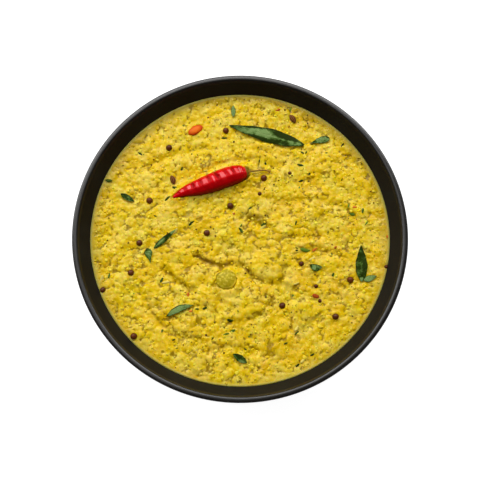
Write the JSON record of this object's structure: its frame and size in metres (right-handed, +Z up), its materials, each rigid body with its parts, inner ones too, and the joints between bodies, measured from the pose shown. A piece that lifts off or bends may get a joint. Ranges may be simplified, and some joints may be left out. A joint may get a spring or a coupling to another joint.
{
  "type": "bowl of chayote lentil curry",
  "caption": "Shallow black stoneware bowl filled with thick yellow lentil and chayote curry, topped with a dried red chilli, curry leaves and mustard seeds.",
  "frame": {"origin": "centre of the foot ring, on the surface that the bowl stands on", "axes": "+Z up along the bowl's axis, +X to the diner's right, +Y away from the diner, towards the chilli"},
  "size_m": [0.15, 0.15, 0.054],
  "materials": {
    "stoneware": "matte black glaze with a satin lip",
    "curry": "moist, thick and grainy",
    "chilli": "glossy, wrinkled skin",
    "ripe_chilli": "oily",
    "chayote": "wet and slightly clear",
    "leaf": "fried, with a dull sheen"
  },
  "bodies": {
    "root": {"bowl": "stoneware", "curry": "curry", "chilli": "chilli", "red_chilli_piece": "ripe_chilli", "chayote_slice": "chayote", "curry_leaf_1": "leaf", "curry_leaf_2": "leaf", "curry_leaf_3": "leaf", "curry_leaf_4": "leaf", "curry_leaf_5": "leaf", "curry_leaf_6": "leaf", "curry_leaf_7": "leaf", "curry_leaf_8": "leaf", "curry_leaf_9": "leaf", "curry_leaf_10": "leaf", "curry_leaf_11": "leaf"}
  },
  "joints": []
}
